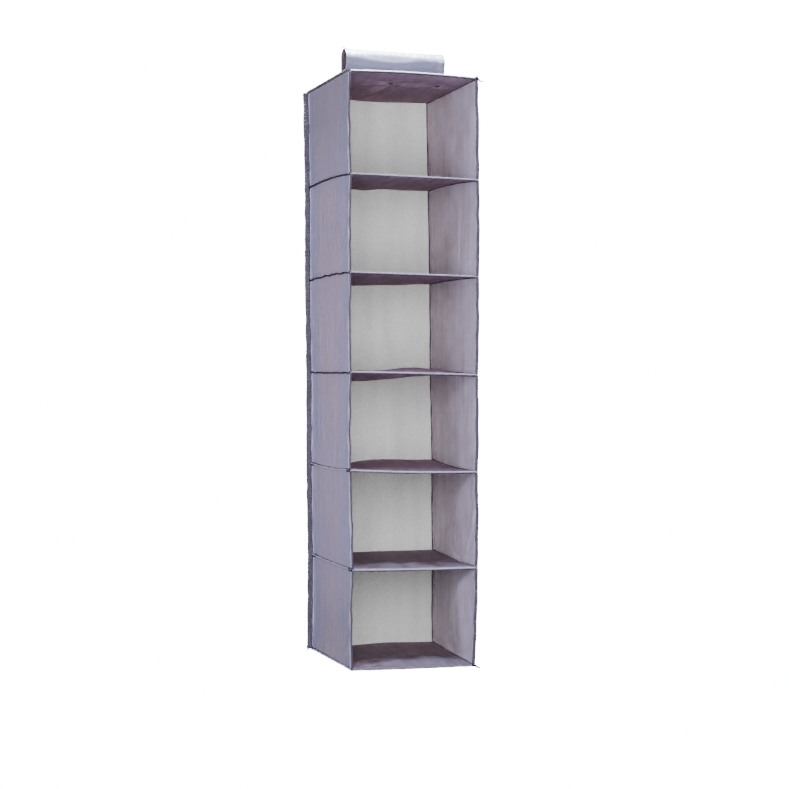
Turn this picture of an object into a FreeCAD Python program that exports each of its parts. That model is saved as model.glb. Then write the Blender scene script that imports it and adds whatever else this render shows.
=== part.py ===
# Hanging closet organizer: six open cloth tiers under a strap that wraps a closet rod.
#
# Frame: +Z is up, the open front faces -Y, and the closet rod lies along X through the origin.
# Every tier hangs from the panel above it, so the pieces are placed downwards from the rod.
# Units are millimetres. Sizes live in the sheet below, and every feature is bound to its cells.

import FreeCAD, Part
import os
import math
import Sketcher

doc = FreeCAD.newDocument("HangingOrganizer")

# --------------------------------------------------------------------------------------------
# Driving dimensions

DIMENSIONS = (
    ("tiers", 6, "number of open tiers"),
    ("width", 290, "between the outer faces of the side walls"),
    ("depth", 290, "front edge of a shelf to the outer face of the back"),
    ("pitch", 212, "upper face of one shelf to the upper face of the next"),
    ("wallcloth", 1.2, "side wall, two plies sewn together"),
    ("meshcloth", 1, "woven back panel"),
    ("sleevecloth", 0.6, "one ply of the sleeve round a stiffener board"),
    ("board", 2.4, "stiffener board"),
    ("sleeveseam", 6, "sewn margin of a sleeve, outside the board's pocket"),
    ("boardroom", 0.4, "room between a board and the margin of its pocket"),
    ("boardease", 0.05, "room above and below a board"),
    ("hemcloth", 1, "tape folded over a shelf's front edge"),
    ("hemlap", 10, "how far back that tape reaches"),
    ("ridge", 3, "how far a shelf's side seam stands out of the wall"),
    ("ridgelip", 0.6, "how far that seam stands above and below the shelf"),
    ("bindcloth", 0.8, "tape folded over a wall's front edge"),
    ("bindlap", 9, "how far back that tape reaches"),
    ("flange", 11, "width of the bound seam along each back edge"),
    ("flangethick", 2.4, "thickness of that bound seam"),
    ("trimgap", 0.2, "gap between the ends of neighbouring trims"),
    ("rodradius", 16, "closet rod that the strap wraps"),
    ("drop", 62, "rod axis to the upper face of the top panel"),
    ("strapwidth", 234, "strap, along the rod"),
    ("strapcloth", 1.2, "strap, two plies sewn together"),
    ("strapfoot", 12, "sewn foot of the strap on the top panel"),
    ("flaplength", 50, "free flap, below the rod axis"),
    ("tapethick", 1, "hook tape, and loop tape"),
    ("tapewidth", 24, "hook tape, and loop tape"),
    ("tapeinset", 5, "from a strap's side edge to the end of a tape"),
    ("tapetop", 24, "rod axis to the upper edge of the tapes"),
    ("stubtop", 20, "rod axis to the upper edge of the stub"),
)

sheet = doc.addObject("Spreadsheet::Sheet", "Sizes")
for row, (alias, value, meaning) in enumerate(DIMENSIONS, start=1):
    sheet.set(f"A{row}", meaning)
    sheet.set(f"B{row}", str(value))
    sheet.setAlias(f"B{row}", alias)
doc.recompute()

# A sleeve whose pocket is cut keeps less than this share of its outer volume
SLEEVE_SHARE = 0.7

# Expressions that several pieces share
SHELF_THICK = "(Sizes.board + 2 * Sizes.sleevecloth)"
HALF_WIDTH = "Sizes.width / 2"
HALF_DEPTH = "Sizes.depth / 2"
OPEN_HEIGHT = f"(Sizes.pitch - {SHELF_THICK})"


def shelf_top(number):
    """Height of a shelf's upper face: number 0 is the top panel, the last is the bottom."""
    return f"-(Sizes.drop + {number} * Sizes.pitch)"


def value_of(expression):
    return float(sheet.evalExpression(expression))


# --------------------------------------------------------------------------------------------
# Helpers

nodes = []


def as_node(piece, name):
    """Marks an object as a finished sub-part and gives it its name."""
    piece.Label = name
    nodes.append(piece)
    return piece


def place(piece, x="0", y="0", z="0"):
    """Binds an object's position to expressions over the sheet."""
    for axis, expression in (("x", x), ("y", y), ("z", z)):
        piece.setExpression(f"Placement.Base.{axis}", expression)


def new_body(name):
    return doc.addObject("PartDesign::Body", name)


def new_sketch(body, name, plane_role):
    sketch = body.newObject("Sketcher::SketchObject", name)
    planes = [item for item in body.Origin.OriginFeatures if item.Role == plane_role]
    sketch.AttachmentSupport = (planes[0], [""])
    sketch.MapMode = "FlatFace"
    return sketch


def hold(sketch, kind, geometry, end, expression):
    """Dimensions one point of a sketch from the sketch's origin."""
    value = value_of(expression)
    index = sketch.addConstraint(Sketcher.Constraint(kind, -1, 1, geometry, end, value))
    sketch.setExpression(f"Constraints[{index}]", expression)


def stepped_runs(sketch, corners, closed=True):
    """Horizontal and vertical runs through corners given as expressions, each run held from
    the sketch's origin. Returns the first and the last run."""
    points = [FreeCAD.Vector(value_of(u), value_of(v), 0) for u, v in corners]
    following = corners[1:] + (corners[:1] if closed else ())
    first = sketch.GeometryCount
    last = first + len(following) - 1
    for i, corner in enumerate(following):
        run = sketch.addGeometry(Part.LineSegment(points[i], points[(i + 1) % len(points)]))
        upright = corners[i][0] == corner[0]
        sketch.addConstraint(Sketcher.Constraint("Vertical" if upright else "Horizontal", run))
        if upright:
            hold(sketch, "DistanceX", run, 1, corner[0])
        else:
            hold(sketch, "DistanceY", run, 1, corner[1])
        if i > 0:
            sketch.addConstraint(Sketcher.Constraint("Coincident", run - 1, 2, run, 1))
    if closed:
        sketch.addConstraint(Sketcher.Constraint("Coincident", last, 2, first, 1))
    return first, last


def rectangle(low_u, low_v, high_u, high_v):
    return ((low_u, low_v), (high_u, low_v), (high_u, high_v), (low_u, high_v))


def half_round(sketch, radius):
    """Half circle over the sketch's origin, from its right end round to its left end."""
    circle = Part.Circle(FreeCAD.Vector(0, 0, 0), FreeCAD.Vector(0, 0, 1), value_of(radius))
    arc = sketch.addGeometry(Part.ArcOfCircle(circle, 0, math.pi))
    sketch.addConstraint(Sketcher.Constraint("Coincident", arc, 3, -1, 1))
    return arc


def nosed_outline(sketch, root_u, low_v, high_v, reach):
    """Seam profile: flat at root_u, and rounded where it reaches furthest towards -u."""
    root, low, high = value_of(root_u), value_of(low_v), value_of(high_v)
    radius = (high - low) / 2
    nose = FreeCAD.Vector(root - value_of(reach) + radius, (low + high) / 2, 0)
    shoulder_low = FreeCAD.Vector(nose.x, low, 0)
    shoulder_high = FreeCAD.Vector(nose.x, high, 0)
    upper = sketch.addGeometry(Part.LineSegment(FreeCAD.Vector(root, high, 0), shoulder_high))
    round_end = Part.Circle(nose, FreeCAD.Vector(0, 0, 1), radius)
    arc = sketch.addGeometry(Part.ArcOfCircle(round_end, math.pi / 2, 3 * math.pi / 2))
    lower = sketch.addGeometry(Part.LineSegment(shoulder_low, FreeCAD.Vector(root, low, 0)))
    flat = sketch.addGeometry(
        Part.LineSegment(FreeCAD.Vector(root, low, 0), FreeCAD.Vector(root, high, 0)))
    for line, kind in ((upper, "Horizontal"), (lower, "Horizontal"), (flat, "Vertical")):
        sketch.addConstraint(Sketcher.Constraint(kind, line))
    sketch.addConstraint(Sketcher.Constraint("Tangent", upper, 2, arc, 1))
    sketch.addConstraint(Sketcher.Constraint("Tangent", arc, 2, lower, 1))
    sketch.addConstraint(Sketcher.Constraint("Coincident", lower, 2, flat, 1))
    sketch.addConstraint(Sketcher.Constraint("Coincident", flat, 2, upper, 1))
    hold(sketch, "DistanceY", upper, 1, high_v)
    hold(sketch, "DistanceY", lower, 2, low_v)
    hold(sketch, "DistanceX", flat, 1, root_u)
    hold(sketch, "DistanceX", arc, 3, f"{root_u} - {reach} + ({high_v} - ({low_v})) / 2")


def pad(body, sketch, name, length, symmetric=False):
    feature = body.newObject("PartDesign::Pad", name)
    feature.Profile = sketch
    feature.SideType = "Symmetric" if symmetric else "One side"
    feature.setExpression("Length", length)
    return feature


def box(name, length, width, height, x, y, z):
    """A block from its three sizes and the place of its lowest corner."""
    block = doc.addObject("Part::Box", name)
    block.setExpression("Length", length)
    block.setExpression("Width", width)
    block.setExpression("Height", height)
    place(block, x, y, z)
    return block


def mirrored_pair(left, name):
    """The piece and its mirror image across the middle plane, as two solids of one group."""
    right = doc.addObject("Part::Mirroring", name + "_right")
    right.Source = left
    right.Normal = FreeCAD.Vector(1, 0, 0)
    return [left, right]


def group(solids, name):
    compound = doc.addObject("Part::Compound", name)
    compound.Links = solids
    return compound


# --------------------------------------------------------------------------------------------
# Shelves: the top panel, five shelves and the bottom panel are made alike

def sleeve(name, number):
    """Cloth sleeve sewn shut on three sides, with the board's pocket open at the front."""
    body = new_body(name)
    outside = new_sketch(body, name + "_outside", "YZ_Plane")
    stepped_runs(outside, rectangle(f"-{HALF_DEPTH}", f"-{SHELF_THICK}", HALF_DEPTH, "0"))
    whole = pad(body, outside, name + "_whole", "Sizes.width", symmetric=True)
    inside = new_sketch(body, name + "_inside", "YZ_Plane")
    floor = f"-{SHELF_THICK} + Sizes.sleevecloth - Sizes.boardease"
    ceiling = "-Sizes.sleevecloth + Sizes.boardease"
    stepped_runs(
        inside, rectangle(f"-{HALF_DEPTH}", floor, f"{HALF_DEPTH} - Sizes.sleeveseam", ceiling))
    doc.recompute()
    pocket = body.newObject("PartDesign::Pocket", name + "_pocket")
    pocket.Profile = inside
    pocket.SideType = "Symmetric"
    pocket.setExpression("Length", "Sizes.width - 2 * Sizes.sleeveseam")
    place(body, z=shelf_top(number))
    doc.recompute()
    if body.Shape.Volume > SLEEVE_SHARE * whole.Shape.Volume:
        raise RuntimeError(name + ": the board's pocket was not cut")
    return as_node(body, name)


def stiffener(name, number):
    """Board that fills the sleeve's pocket."""
    margin = "(Sizes.sleeveseam + Sizes.boardroom)"
    return as_node(box(
        name,
        f"Sizes.width - 2 * {margin}",
        f"Sizes.depth - {margin} - Sizes.boardroom",
        "Sizes.board",
        f"-{HALF_WIDTH} + {margin}",
        f"-{HALF_DEPTH} + Sizes.boardroom",
        f"{shelf_top(number)} - Sizes.sleevecloth - Sizes.board"), name)


def front_hem(name, number):
    """Tape folded over the shelf's front edge, which closes the board's pocket."""
    body = new_body(name)
    sketch = new_sketch(body, name + "_outline", "YZ_Plane")
    nose = f"-{HALF_DEPTH} - Sizes.hemcloth"
    edge = f"-{HALF_DEPTH}"
    lip = f"{nose} + Sizes.hemlap"
    under = f"-{SHELF_THICK}"
    underneath = f"{under} - Sizes.hemcloth"
    stepped_runs(sketch, (
        (nose, underneath), (lip, underneath), (lip, under), (edge, under),
        (edge, "0"), (lip, "0"), (lip, "Sizes.hemcloth"), (nose, "Sizes.hemcloth")))
    reach = "Sizes.width - 2 * (Sizes.wallcloth + Sizes.bindcloth + Sizes.trimgap)"
    pad(body, sketch, name + "_pad", reach, symmetric=True)
    place(body, z=shelf_top(number))
    return body


def side_seam(name, number):
    """Ridge along the left wall, where the shelf and the two walls are sewn together."""
    body = new_body(name)
    sketch = new_sketch(body, name + "_outline", "XZ_Plane")
    low = f"-{SHELF_THICK} - Sizes.ridgelip"
    nosed_outline(sketch, f"-{HALF_WIDTH}", low, "Sizes.ridgelip", "Sizes.ridge")
    back = f"{HALF_DEPTH} - Sizes.flangethick - Sizes.trimgap"
    front = f"-{HALF_DEPTH} - Sizes.bindcloth + Sizes.bindlap + Sizes.trimgap"
    pad(body, sketch, name + "_pad", f"{back} - ({front})")
    place(body, y=back, z=shelf_top(number))
    return body


def shelf_trims(name, number):
    """Front hem and both side seams of one shelf, as three solids."""
    hem = front_hem(name + "_hem", number)
    seams = mirrored_pair(side_seam(name + "_seam", number), name + "_seam")
    return as_node(group([hem] + seams, name), name)


# --------------------------------------------------------------------------------------------
# Tiers: two side walls, the woven back and the bound edges between one shelf and the next

def wall(name, number, left):
    """Side wall of a tier, from the shelf below it to the shelf above."""
    low_x = f"-{HALF_WIDTH}" if left else f"{HALF_WIDTH} - Sizes.wallcloth"
    return as_node(box(
        name, "Sizes.wallcloth", "Sizes.depth", OPEN_HEIGHT,
        low_x, f"-{HALF_DEPTH}", shelf_top(number)), name)


def back_panel(name, number):
    """Woven back between the two walls."""
    return as_node(box(
        name, "Sizes.width - 2 * Sizes.wallcloth", "Sizes.meshcloth", OPEN_HEIGHT,
        f"-{HALF_WIDTH} + Sizes.wallcloth", f"{HALF_DEPTH} - Sizes.meshcloth",
        shelf_top(number)), name)


def front_bindings(name, number):
    """Tapes folded over the front edges of both walls."""
    body = new_body(name + "_left")
    sketch = new_sketch(body, name + "_outline", "XY_Plane")
    wall_out = f"-{HALF_WIDTH}"
    wall_in = f"-{HALF_WIDTH} + Sizes.wallcloth"
    outside = f"{wall_out} - Sizes.bindcloth"
    inside = f"{wall_in} + Sizes.bindcloth"
    edge = f"-{HALF_DEPTH}"
    nose = f"{edge} - Sizes.bindcloth"
    lip = f"{nose} + Sizes.bindlap"
    stepped_runs(sketch, (
        (outside, nose), (inside, nose), (inside, lip), (wall_in, lip),
        (wall_in, edge), (wall_out, edge), (wall_out, lip), (outside, lip)))
    pad(body, sketch, name + "_pad", OPEN_HEIGHT)
    place(body, z=shelf_top(number))
    return as_node(group(mirrored_pair(body, name), name), name)


def back_bindings(name, number):
    """Bound seams that join walls and back, standing out sideways in the plane of the back."""
    body = new_body(name + "_left")
    sketch = new_sketch(body, name + "_outline", "XY_Plane")
    nosed_outline(
        sketch, f"-{HALF_WIDTH}", f"{HALF_DEPTH} - Sizes.flangethick", HALF_DEPTH, "Sizes.flange")
    pad(body, sketch, name + "_pad", "Sizes.pitch")
    place(body, z=f"{shelf_top(number)} - {SHELF_THICK}")
    return as_node(group(mirrored_pair(body, name), name), name)


# --------------------------------------------------------------------------------------------
# Strap: a loop sewn to the top panel, closed in front by a flap with hook and loop tape

def strap_loop(name):
    """Rear ply with its sewn foot, and the arch over the rod as far as the rod's front."""
    body = new_body(name)
    sketch = new_sketch(body, name + "_outline", "YZ_Plane")
    near = "Sizes.rodradius"
    far = "(Sizes.rodradius + Sizes.strapcloth)"
    base = "-Sizes.drop"
    foot_top = "-Sizes.drop + Sizes.strapcloth"
    toe = f"{far} + Sizes.strapfoot"
    first, last = stepped_runs(sketch, (
        (near, "0"), (near, base), (toe, base), (toe, foot_top), (far, foot_top), (far, "0")),
        closed=False)
    inner = half_round(sketch, near)
    outer = half_round(sketch, far)
    front = sketch.addGeometry(Part.LineSegment(
        FreeCAD.Vector(-value_of(far), 0, 0), FreeCAD.Vector(-value_of(near), 0, 0)))
    sketch.addConstraint(Sketcher.Constraint("Horizontal", front))
    sketch.addConstraint(Sketcher.Constraint("Coincident", inner, 1, first, 1))
    sketch.addConstraint(Sketcher.Constraint("Coincident", outer, 1, last, 2))
    sketch.addConstraint(Sketcher.Constraint("Coincident", outer, 2, front, 1))
    sketch.addConstraint(Sketcher.Constraint("Coincident", inner, 2, front, 2))
    hold(sketch, "DistanceY", first, 1, "0")
    hold(sketch, "DistanceY", last, 2, "0")
    hold(sketch, "DistanceY", front, 1, "0")
    pad(body, sketch, name + "_pad", "Sizes.strapwidth", symmetric=True)
    return as_node(body, name)


def strap_flap(name):
    """Free front ply, which peels away to open the strap."""
    return as_node(box(
        name, "Sizes.strapwidth", "Sizes.strapcloth", "Sizes.flaplength",
        "-Sizes.strapwidth / 2", "-Sizes.rodradius - Sizes.strapcloth", "-Sizes.flaplength"), name)


def strap_stub(name):
    """Short ply sewn to the top panel behind the flap, which carries the loop tape."""
    body = new_body(name)
    sketch = new_sketch(body, name + "_outline", "YZ_Plane")
    face = "-Sizes.rodradius + 2 * Sizes.tapethick"
    back = f"{face} + Sizes.strapcloth"
    toe = f"{face} - Sizes.strapfoot"
    foot_top = "-Sizes.drop + Sizes.strapcloth"
    stepped_runs(sketch, (
        (toe, "-Sizes.drop"), (back, "-Sizes.drop"), (back, "-Sizes.stubtop"),
        (face, "-Sizes.stubtop"), (face, foot_top), (toe, foot_top)))
    pad(body, sketch, name + "_pad", "Sizes.strapwidth", symmetric=True)
    return as_node(body, name)


def fastener_tape(name, layer):
    """Hook tape on the flap is layer 0, loop tape on the stub is layer 1."""
    return as_node(box(
        name, "Sizes.strapwidth - 2 * Sizes.tapeinset", "Sizes.tapethick", "Sizes.tapewidth",
        "-Sizes.strapwidth / 2 + Sizes.tapeinset", f"-Sizes.rodradius + {layer} * Sizes.tapethick",
        "-Sizes.tapetop - Sizes.tapewidth"), name)


# --------------------------------------------------------------------------------------------
# Assembly

tiers = int(value_of("Sizes.tiers"))
shelf_names = ["top_panel"] + [f"shelf_{n}" for n in range(1, tiers)] + ["bottom_panel"]

for number, shelf in enumerate(shelf_names):
    sleeve(shelf + "_sleeve", number)
    stiffener(shelf + "_board", number)
    shelf_trims(shelf + "_trims", number)

for number in range(1, tiers + 1):
    wall(f"tier_{number}_left_wall", number, left=True)
    wall(f"tier_{number}_right_wall", number, left=False)
    back_panel(f"tier_{number}_back", number)
    front_bindings(f"tier_{number}_front_bindings", number)
    back_bindings(f"tier_{number}_back_bindings", number)

strap_loop("strap_loop")
strap_flap("strap_flap")
strap_stub("strap_stub")
fastener_tape("strap_hook_tape", 0)
fastener_tape("strap_loop_tape", 1)

doc.recompute()

# --------------------------------------------------------------------------------------------
# Checks and export

for item in doc.Objects:
    if "Invalid" in item.State or "Error" in item.State:
        raise RuntimeError(f"{item.Label}: {item.State}")
for node in nodes:
    if node.Shape.isNull() or not node.Shape.isValid():
        raise RuntimeError(f"{node.Label}: no valid shape")

os.makedirs("parts", exist_ok=True)
for node in nodes:
    node.Shape.exportStep(f"parts/{node.Label}.step")
print(len(nodes), "sub-parts written")
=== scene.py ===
# A hanging shoe organizer of grey-lilac cloth: six open tiers under a wide strap.
# Every length is in metres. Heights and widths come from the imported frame.

import math
import random

import bpy
import bmesh
import numpy as np
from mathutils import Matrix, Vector


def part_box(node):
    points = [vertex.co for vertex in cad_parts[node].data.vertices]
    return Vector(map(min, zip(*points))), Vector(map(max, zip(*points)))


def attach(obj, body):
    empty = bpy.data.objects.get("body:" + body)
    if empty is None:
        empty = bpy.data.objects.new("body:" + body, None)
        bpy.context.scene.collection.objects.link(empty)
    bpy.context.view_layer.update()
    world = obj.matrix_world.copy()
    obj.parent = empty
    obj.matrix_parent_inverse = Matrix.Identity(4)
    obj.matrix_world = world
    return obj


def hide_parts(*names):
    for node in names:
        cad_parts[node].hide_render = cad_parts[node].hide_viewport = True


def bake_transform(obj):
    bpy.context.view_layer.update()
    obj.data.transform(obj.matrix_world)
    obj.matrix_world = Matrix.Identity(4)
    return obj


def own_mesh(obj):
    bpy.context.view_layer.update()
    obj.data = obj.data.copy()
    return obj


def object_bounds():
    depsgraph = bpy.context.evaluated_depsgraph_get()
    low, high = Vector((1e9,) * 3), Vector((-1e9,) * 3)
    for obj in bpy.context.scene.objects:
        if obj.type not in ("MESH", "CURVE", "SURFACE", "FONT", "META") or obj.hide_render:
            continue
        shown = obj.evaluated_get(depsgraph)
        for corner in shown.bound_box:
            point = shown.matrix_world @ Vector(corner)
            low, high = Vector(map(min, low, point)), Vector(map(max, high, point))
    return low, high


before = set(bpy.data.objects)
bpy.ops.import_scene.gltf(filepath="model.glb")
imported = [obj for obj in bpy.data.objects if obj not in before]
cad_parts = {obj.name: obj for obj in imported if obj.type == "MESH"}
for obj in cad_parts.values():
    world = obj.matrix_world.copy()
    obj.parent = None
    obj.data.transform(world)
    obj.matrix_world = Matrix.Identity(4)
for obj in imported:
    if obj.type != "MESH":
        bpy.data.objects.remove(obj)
cad_low, cad_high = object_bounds()

MM = 0.001
SIDES = ((-1, "left"), (1, "right"))
TIERS = 6
SHELVES = ["top_panel"] + [f"shelf_{n}" for n in range(1, TIERS)] + ["bottom_panel"]
SHELF_BODY = ["top"] + [f"shelf_{n}" for n in range(1, TIERS)] + ["bottom"]


def middle_height(node):
    low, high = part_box(node)
    return (low.z + high.z) / 2


# Places and sizes, read from the frame
SEAM = [middle_height(shelf + "_sleeve") for shelf in SHELVES]
PITCH = SEAM[0] - SEAM[1]
HALF_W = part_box("tier_1_right_wall")[1].x
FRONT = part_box("shelf_1_sleeve")[0].y
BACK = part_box("shelf_1_sleeve")[1].y
DEPTH = BACK - FRONT
SHELF_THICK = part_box("shelf_1_sleeve")[1].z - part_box("shelf_1_sleeve")[0].z
BOARD_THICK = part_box("shelf_1_board")[1].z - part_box("shelf_1_board")[0].z
WALL_THICK = HALF_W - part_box("tier_1_right_wall")[0].x
BACK_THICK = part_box("tier_1_back")[1].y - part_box("tier_1_back")[0].y

# How far each shelf stands off its level place, in millimetres, as hung cloth does:
# front left, front right, back left, back right corner
CORNER_LIFT = (
    (8, 8, 1, -3), (2, -1, 0, 4), (5, 0, 0, -3), (4, -3, 2, 6),
    (6, -4, 3, 5), (4, -3, 5, 3.4), (2, -6, 0, -3))
SIDE_BOW = (-1, 5, 2.5, -1, -3.5, -1, 0)    # rise of the side seams at mid-depth
FRONT_BOW = (3.2, 0.5, 0, 0.5, -2.5, -1, -1)   # rise of the front edge at mid-width
# Soft bends of the back edge: (place across the half-width, breadth, rise)
BACK_BENDS = (
    ((0, 0.7, -5.5),), ((-0.1, 0.12, -2), (0.25, 0.2, 2)), ((-0.35, 0.6, -8), (0.45, 0.3, -3)),
    ((-0.35, 0.48, -22), (0.4, 0.25, 2)), ((-0.5, 0.22, -5), (0.1, 0.5, 4)),
    ((0, 0.4, 1),), ((0.2, 0.5, 3.5),))
# How far the two plies of a sleeve part at its middle: (upper, lower)
PUFF = ((1, 4.5), (1, 2), (1, 2), (11, 7), (2.5, 1), (2, 1), (2.5, 1))
FRONT_CREST = (0, 0, 0, 0, 1.0, 3.0, 5.0)   # swell of the upper ply, a little behind the hem
# How far each side seam stands outside its true place, in millimetres, at its front and back
FRONT_OUT = {-1: (1, -1.5, -0.5, -1, 0, -5, -3.5), 1: (2, 5, 5, 3, 3, 3, -4)}
BACK_OUT = {-1: (5, 1, 1, -2, -2, -5, -3), 1: (-3, 1, 5, 6.5, 11, 12.5, 12.5)}
# How far the walls' front edges swell outwards between two seams, and how far the cloth stands
# out just behind them, so that the strip in front of it turns towards the light
EDGE_SWELL = {-1: (2, 1.5, 1.5, 1.5, -0.5, 2.5), 1: (1, 1.5, 1.5, 2, 1.5, 2)}
SHOULDER = {-1: (2.5, 5, 4, 2, 1.5, 2.5), 1: (-2, -3, -2, -3.5, -13, -16)}
SHOULDER_PLACE = {-1: (0.2, 0), 1: (0.08, 0.3)}    # where it stands, at the tier's top, and its drift


def bell(distance, breadth):
    return np.exp(-(distance / breadth) ** 2)


def ripple(seed, waves, shortest, longest):
    """A smooth uneven curve between about -1 and 1: a seeded sum of sines."""
    draw = random.Random(seed)
    parts = [
        (math.tau / draw.uniform(shortest, longest), draw.uniform(0, math.tau), draw.uniform(0.4, 1))
        for _ in range(waves)]
    total = sum(part[2] for part in parts)
    return lambda s: sum(a * np.sin(k * s + p) for k, p, a in parts) / total


def ripple_2d(seed, waves, shortest, longest, stretch=1.0):
    """The same over a surface. A stretch above 1 draws the ripples out along the second axis."""
    draw = random.Random(seed)
    parts = []
    for _ in range(waves):
        turn = draw.uniform(0, math.tau)
        k = math.tau / draw.uniform(shortest, longest)
        parts.append((k * math.cos(turn), k * math.sin(turn) / stretch,
                      draw.uniform(0, math.tau), draw.uniform(0.4, 1)))
    total = sum(part[3] for part in parts)
    return lambda s, t: sum(a * np.sin(ks * s + kt * t + p) for ks, kt, p, a in parts) / total


def seam_out(number, side, y):
    """How far a shelf's side seam stands outside its true place, at depth y."""
    v = (np.asarray(y) - FRONT) / DEPTH
    return (FRONT_OUT[side][number] * (1 - v) + BACK_OUT[side][number] * v) * MM


def across_shelf(number, u, y, inset):
    """x at a fraction u (-1 to 1) of the way between a shelf's two side seams."""
    left = -HALF_W + inset - seam_out(number, -1, y)
    right = HALF_W - inset + seam_out(number, 1, y)
    return left + (right - left) * (u + 1) / 2


def shelf_height(number, u, y):
    """Height of a shelf's middle surface, at fraction u across it and depth y."""
    v = (np.asarray(y) - FRONT) / DEPTH
    front_left, front_right, back_left, back_right = CORNER_LIFT[number]
    front = front_left + (front_right - front_left) * (u + 1) / 2
    front = front + FRONT_BOW[number] * (1 - u ** 2)
    back = back_left + (back_right - back_left) * (u + 1) / 2
    for place, breadth, rise in BACK_BENDS[number]:
        back = back + rise * bell(u - place, breadth) * np.clip(1 - u ** 4, 0, 1)
    side = SIDE_BOW[number] * 4 * v * (1 - v) * (0.3 + 0.7 * u ** 2)
    blend = np.clip(v, 0, 1) ** 1.3
    return SEAM[number] + (front * (1 - blend) + back * blend + side) * MM


# Mesh helpers

SHARP_ANGLE = 55      # degrees


class Mesher:
    """Collects points and faces, and makes one object of them."""

    def __init__(self):
        self.points = []
        self.faces = []
        self.materials = []
        self.count = 0

    def add(self, points, *groups):
        """Adds points with groups of faces between them. Each group comes with its material."""
        self.points.append(np.asarray(points, float).reshape(-1, 3))
        for faces, material in groups:
            self.faces += [tuple(self.count + i for i in face) for face in faces]
            self.materials += [material] * len(faces)
        self.count += len(self.points[-1])

    def tube(self, rings, material=0):
        """Adds a capped tube of rings of points."""
        rings = np.array(rings)
        self.add(rings, (loft_faces(*rings.shape[:2]), material))

    def shell(self, front, back, materials=(0, 0, 0)):
        """Adds the closed shell between two grids of points with the same border. The materials
        are those of its front, its back and its edges."""
        rows, columns = front.shape[:2]
        size, border = rows * columns, border_of(rows, columns)
        front_faces = grid_faces(rows, columns)
        back_faces = [tuple(size + i for i in reversed(face)) for face in front_faces]
        edges = [(a, b, size + b, size + a) for a, b in zip(border, border[1:] + border[:1])]
        self.add(np.stack([front, back]), *zip((front_faces, back_faces, edges), materials))

    def build(self, name, materials):
        mesh = bpy.data.meshes.new(name)
        mesh.from_pydata(np.concatenate(self.points).tolist(), [], self.faces)
        for material in materials:
            mesh.materials.append(material)
        mesh.polygons.foreach_set("material_index", self.materials)
        work = bmesh.new()
        work.from_mesh(mesh)
        bmesh.ops.recalc_face_normals(work, faces=work.faces)
        work.to_mesh(mesh)
        work.free()
        mesh.shade_smooth()
        mesh.set_sharp_from_angle(angle=math.radians(SHARP_ANGLE))
        piece = bpy.data.objects.new(name, mesh)
        bpy.context.scene.collection.objects.link(piece)
        return piece


def loft_faces(rings, points):
    """Faces of a capped tube of rings, each of the given number of points."""
    faces = []
    for r in range(rings - 1):
        for p in range(points):
            q = (p + 1) % points
            faces.append((r * points + p, r * points + q, (r + 1) * points + q, (r + 1) * points + p))
    last = (rings - 1) * points
    return faces + [tuple(range(points)), tuple(last + p for p in reversed(range(points)))]


def grid_faces(rows, columns):
    return [
        (r * columns + c, r * columns + c + 1, (r + 1) * columns + c + 1, (r + 1) * columns + c)
        for r in range(rows - 1) for c in range(columns - 1)]


def grid_normals(grid):
    """Unit normals of a grid of points, from its two directions."""
    normals = np.cross(np.gradient(grid, axis=0), np.gradient(grid, axis=1))
    return normals / np.maximum(np.linalg.norm(normals, axis=2, keepdims=True), 1e-12)


def border_of(rows, columns):
    """Indices round the border of a grid of points, in order."""
    index = np.arange(rows * columns).reshape(rows, columns)
    return np.concatenate([index[0], index[1:, -1], index[-1, -2::-1], index[-2:0:-1, 0]]).tolist()


def thick_sheet(mesher, grid, thickness, facing=None, materials=(0, 0, 0)):
    """A cloth ply of even thickness over a grid of middle points. Its front looks along facing."""
    offset = grid_normals(grid) * thickness / 2
    if facing is not None:
        offset = offset * np.sign((offset * facing).sum(axis=2, keepdims=True))
    mesher.shell(grid + offset, grid - offset, materials)


def sample(grid, s, t):
    """Points and normals of a grid at fractions s down its rows and t along its columns."""
    rows, columns = grid.shape[:2]
    s, t = np.broadcast_arrays(np.asarray(s, float), np.asarray(t, float))
    r = np.clip(s, 0, 1) * (rows - 1)
    c = np.clip(t, 0, 1) * (columns - 1)
    r0 = np.clip(np.floor(r).astype(int), 0, rows - 2)
    c0 = np.clip(np.floor(c).astype(int), 0, columns - 2)
    fr, fc = (r - r0)[..., None], (c - c0)[..., None]

    def mixed(field):
        upper = field[r0, c0] * (1 - fc) + field[r0, c0 + 1] * fc
        lower = field[r0 + 1, c0] * (1 - fc) + field[r0 + 1, c0 + 1] * fc
        return upper * (1 - fr) + lower * fr

    return mixed(grid), mixed(grid_normals(grid))


# Stitches, in millimetres: spacing, length and radius
FINE_STITCH = (4.2, 3.0, 0.3)
SEAM_STITCH = (5, 3.2, 0.35)
HEM_STITCH = (4.5, 3.0, 0.4)
PLY_STITCH = (4.5, 3.0, 0.35)
STITCH_FACES = ((0, 2, 3), (0, 3, 4), (0, 4, 5), (0, 5, 2), (1, 7, 6), (1, 8, 7), (1, 9, 8), (1, 6, 9),
                (2, 6, 7, 3), (3, 7, 8, 4), (4, 8, 9, 5), (5, 9, 6, 2))


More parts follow.
